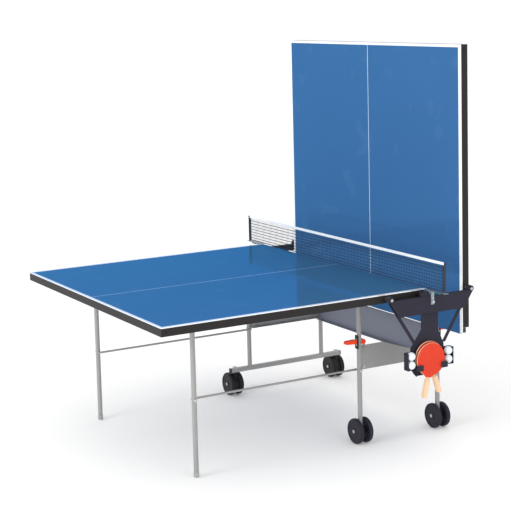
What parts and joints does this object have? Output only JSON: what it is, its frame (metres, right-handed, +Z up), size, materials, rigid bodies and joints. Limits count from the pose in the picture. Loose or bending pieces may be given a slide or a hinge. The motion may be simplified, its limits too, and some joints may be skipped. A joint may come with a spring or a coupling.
{
  "type": "table tennis table",
  "caption": "Folding table tennis table: each half turns upright about its own axis on a wheeled undercarriage, with a net and a bat holder.",
  "frame": {"origin": "On the floor, under the middle of the bounding box in the pose with the rebound half upright", "axes": "+X from the casters to the fixed wheels, along the net; +Y from the play half to the upright rebound half; +Z up"},
  "size_m": [1.826, 1.732, 1.88],
  "materials": {
    "grey_tube": "satin powder coat",
    "grey_sheet": "satin powder coat",
    "blue_grey_sheet": "satin powder coat",
    "zinc": "bright zinc plate",
    "black_plastic": "fine moulded grain",
    "wheel_plastic": "fine moulded grain",
    "caster_plastic": "fine moulded grain",
    "red_plastic": "moulded, semi-gloss",
    "blue_top": "painted board with white lines, glossy",
    "dark_apron": "satin powder coat",
    "black_steel": "satin powder coat",
    "clamp_grip": "moulded, semi-gloss",
    "net_fabric": "knotted polyester mesh with a white tape",
    "holder_plastic": "fine moulded grain",
    "bat_wood": "sanded light wood",
    "bat_rubber": "smooth red rubber",
    "ball_white": "satin celluloid",
    "grey_plastic": "fine moulded grain"
  },
  "bodies": {
    "undercarriage": {"leg_play_wheel": "grey_tube", "leg_rebound_wheel": "grey_tube", "leg_play_caster": "grey_tube", "leg_rebound_caster": "grey_tube", "base_bar": "grey_tube", "base_bar_caps": "black_plastic", "side_plate_wheel": "grey_sheet", "side_plate_caster": "grey_sheet", "cross_beam": "blue_grey_sheet", "zinc_bolts": "zinc", "wheel_axles": "zinc", "catch_plates": "black_plastic", "net_posts": "black_steel", "net": "net_fabric", "holder": "holder_plastic", "carrier_bar": "black_steel"},
    "half_play": {"top_play": "blue_top", "apron_play": "dark_apron", "frame_play": "grey_tube", "hinge_pins_play": "zinc"},
    "half_rebound": {"top_rebound": "blue_top", "apron_rebound": "dark_apron", "frame_rebound": "grey_tube", "hinge_pins_rebound": "zinc"},
    "end_leg_play_wheel": {"end_leg_play_wheel": "grey_tube", "foot_play_wheel": "grey_plastic"},
    "rod_play_wheel": {"rod_play_wheel": "grey_tube"},
    "end_leg_play_caster": {"end_leg_play_caster": "grey_tube", "foot_play_caster": "grey_plastic"},
    "rod_play_caster": {"rod_play_caster": "grey_tube"},
    "end_leg_rebound_wheel": {"end_leg_rebound_wheel": "grey_tube", "foot_rebound_wheel": "grey_plastic"},
    "rod_rebound_wheel": {"rod_rebound_wheel": "grey_tube"},
    "end_leg_rebound_caster": {"end_leg_rebound_caster": "grey_tube", "foot_rebound_caster": "grey_plastic"},
    "rod_rebound_caster": {"rod_rebound_caster": "grey_tube"},
    "wheel_play_front": {"wheel_play_front": "wheel_plastic"},
    "wheel_play_back": {"wheel_play_back": "wheel_plastic"},
    "wheel_rebound_front": {"wheel_rebound_front": "wheel_plastic"},
    "wheel_rebound_back": {"wheel_rebound_back": "wheel_plastic"},
    "caster_play": {"caster_housing_play": "black_plastic", "caster_axle_play": "zinc"},
    "caster_wheel_play_front": {"caster_wheel_play_front": "caster_plastic"},
    "caster_wheel_play_back": {"caster_wheel_play_back": "caster_plastic"},
    "caster_rebound": {"caster_housing_rebound": "black_plastic", "caster_axle_rebound": "zinc"},
    "caster_wheel_rebound_front": {"caster_wheel_rebound_front": "caster_plastic"},
    "caster_wheel_rebound_back": {"caster_wheel_rebound_back": "caster_plastic"},
    "safety_lever_play": {"safety_lever_play": "red_plastic"},
    "safety_lever_rebound": {"safety_lever_rebound": "red_plastic"},
    "net_knob_wheel": {"net_knob_wheel": "clamp_grip"},
    "net_knob_caster": {"net_knob_caster": "clamp_grip"},
    "bat_front": {"bat_front_wood": "bat_wood", "bat_front_rubber": "bat_rubber"},
    "bat_rear": {"bat_rear_wood": "bat_wood", "bat_rear_rubber": "bat_rubber"},
    "ball_play_upper": {"ball_play_upper": "ball_white"},
    "ball_play_lower": {"ball_play_lower": "ball_white"},
    "ball_rebound_upper": {"ball_rebound_upper": "ball_white"},
    "ball_rebound_lower": {"ball_rebound_lower": "ball_white"}
  },
  "joints": [
    {"name": "fold_play", "type": "hinge", "parent": "undercarriage", "child": "half_play", "pos_m": [0, 0.276, 0.738], "axis": [-1, 0, 0], "range_deg": [0, 90]},
    {"name": "fold_rebound", "type": "hinge", "parent": "undercarriage", "child": "half_rebound", "pos_m": [0, 0.732, 0.738], "axis": [-1, 0, 0], "range_deg": [0, 90]},
    {"name": "end_leg_play_wheel_turn", "type": "hinge", "parent": "half_play", "child": "end_leg_play_wheel", "pos_m": [0.533, -0.606, 0.738], "axis": [-1, 0, 0], "range_deg": [-90, 0]},
    {"name": "rod_play_wheel_turn", "type": "hinge", "parent": "undercarriage", "child": "rod_play_wheel", "pos_m": [0.51, 0.276, 0.354], "axis": [-1, 0, 0], "range_deg": [0, 90]},
    {"name": "end_leg_play_caster_turn", "type": "hinge", "parent": "half_play", "child": "end_leg_play_caster", "pos_m": [-0.533, -0.606, 0.738], "axis": [-1, 0, 0], "range_deg": [-90, 0]},
    {"name": "rod_play_caster_turn", "type": "hinge", "parent": "undercarriage", "child": "rod_play_caster", "pos_m": [-0.51, 0.276, 0.354], "axis": [-1, 0, 0], "range_deg": [0, 90]},
    {"name": "end_leg_rebound_wheel_turn", "type": "hinge", "parent": "half_rebound", "child": "end_leg_rebound_wheel", "pos_m": [0.533, 0.732, 1.62], "axis": [-1, 0, 0], "range_deg": [-90, 0]},
    {"name": "rod_rebound_wheel_turn", "type": "hinge", "parent": "undercarriage", "child": "rod_rebound_wheel", "pos_m": [0.51, 0.732, 0.354], "axis": [-1, 0, 0], "range_deg": [0, 90]},
    {"name": "end_leg_rebound_caster_turn", "type": "hinge", "parent": "half_rebound", "child": "end_leg_rebound_caster", "pos_m": [-0.533, 0.732, 1.62], "axis": [-1, 0, 0], "range_deg": [-90, 0]},
    {"name": "rod_rebound_caster_turn", "type": "hinge", "parent": "undercarriage", "child": "rod_rebound_caster", "pos_m": [-0.51, 0.732, 0.354], "axis": [-1, 0, 0], "range_deg": [0, 90]},
    {"name": "wheel_play_front_spin", "type": "hinge", "parent": "undercarriage", "child": "wheel_play_front", "pos_m": [0.533, 0.25, 0.061], "axis": [0, 1, 0], "continuous": true},
    {"name": "wheel_play_back_spin", "type": "hinge", "parent": "undercarriage", "child": "wheel_play_back", "pos_m": [0.533, 0.302, 0.061], "axis": [0, 1, 0], "continuous": true},
    {"name": "wheel_rebound_front_spin", "type": "hinge", "parent": "undercarriage", "child": "wheel_rebound_front", "pos_m": [0.533, 0.706, 0.061], "axis": [0, 1, 0], "continuous": true},
    {"name": "wheel_rebound_back_spin", "type": "hinge", "parent": "undercarriage", "child": "wheel_rebound_back", "pos_m": [0.533, 0.758, 0.061], "axis": [0, 1, 0], "continuous": true},
    {"name": "caster_swivel_play", "type": "hinge", "parent": "undercarriage", "child": "caster_play", "pos_m": [-0.533, 0.182, 0.1], "axis": [0, 0, 1], "continuous": true},
    {"name": "caster_wheel_play_front_spin", "type": "hinge", "parent": "caster_play", "child": "caster_wheel_play_front", "pos_m": [-0.555, 0.157, 0.061], "axis": [0, 1, 0], "continuous": true},
    {"name": "caster_wheel_play_back_spin", "type": "hinge", "parent": "caster_play", "child": "caster_wheel_play_back", "pos_m": [-0.555, 0.207, 0.061], "axis": [0, 1, 0], "continuous": true},
    {"name": "caster_swivel_rebound", "type": "hinge", "parent": "undercarriage", "child": "caster_rebound", "pos_m": [-0.533, 0.826, 0.1], "axis": [0, 0, 1], "continuous": true},
    {"name": "caster_wheel_rebound_front_spin", "type": "hinge", "parent": "caster_rebound", "child": "caster_wheel_rebound_front", "pos_m": [-0.555, 0.801, 0.061], "axis": [0, 1, 0], "continuous": true},
    {"name": "caster_wheel_rebound_back_spin", "type": "hinge", "parent": "caster_rebound", "child": "caster_wheel_rebound_back", "pos_m": [-0.555, 0.851, 0.061], "axis": [0, 1, 0], "continuous": true},
    {"name": "safety_lever_play_turn", "type": "hinge", "parent": "undercarriage", "child": "safety_lever_play", "pos_m": [0.533, 0.276, 0.492], "axis": [1, 0, 0], "range_deg": [-12, 0], "stiffness_Nm_per_rad": 1, "springref_deg": 2.86},
    {"name": "safety_lever_rebound_turn", "type": "hinge", "parent": "undercarriage", "child": "safety_lever_rebound", "pos_m": [0.533, 0.732, 0.492], "axis": [-1, 0, 0], "range_deg": [-12, 0], "stiffness_Nm_per_rad": 1, "springref_deg": 2.86},
    {"name": "net_knob_wheel_turn", "type": "hinge", "parent": "undercarriage", "child": "net_knob_wheel", "pos_m": [0.813, 0.504, 0.705], "axis": [1, 0, 0], "continuous": true},
    {"name": "net_knob_caster_turn", "type": "hinge", "parent": "undercarriage", "child": "net_knob_caster", "pos_m": [-0.813, 0.504, 0.705], "axis": [1, 0, 0], "continuous": true},
    {"name": "bat_front_lift", "type": "slide", "parent": "undercarriage", "child": "bat_front", "axis": [0, 0, 1], "range_m": [0, 0.11]},
    {"name": "bat_rear_lift", "type": "slide", "parent": "undercarriage", "child": "bat_rear", "axis": [0, 0, 1], "range_m": [0, 0.11]},
    {"name": "ball_play_upper_slide", "type": "slide", "parent": "undercarriage", "child": "ball_play_upper", "axis": [1, 0, 0], "range_m": [0, 0.05]},
    {"name": "ball_play_lower_slide", "type": "slide", "parent": "undercarriage", "child": "ball_play_lower", "axis": [1, 0, 0], "range_m": [0, 0.05]},
    {"name": "ball_rebound_upper_slide", "type": "slide", "parent": "undercarriage", "child": "ball_rebound_upper", "axis": [1, 0, 0], "range_m": [0, 0.05]},
    {"name": "ball_rebound_lower_slide", "type": "slide", "parent": "undercarriage", "child": "ball_rebound_lower", "axis": [1, 0, 0], "range_m": [0, 0.05]}
  ],
  "couplings": [
    {"joint": "end_leg_play_wheel_turn", "follows": "fold_play", "ratio": -1},
    {"joint": "rod_play_wheel_turn", "follows": "fold_play", "ratio": 1},
    {"joint": "end_leg_play_caster_turn", "follows": "fold_play", "ratio": -1},
    {"joint": "rod_play_caster_turn", "follows": "fold_play", "ratio": 1},
    {"joint": "end_leg_rebound_wheel_turn", "follows": "fold_rebound", "ratio": -1},
    {"joint": "rod_rebound_wheel_turn", "follows": "fold_rebound", "ratio": 1},
    {"joint": "end_leg_rebound_caster_turn", "follows": "fold_rebound", "ratio": -1},
    {"joint": "rod_rebound_caster_turn", "follows": "fold_rebound", "ratio": 1}
  ]
}
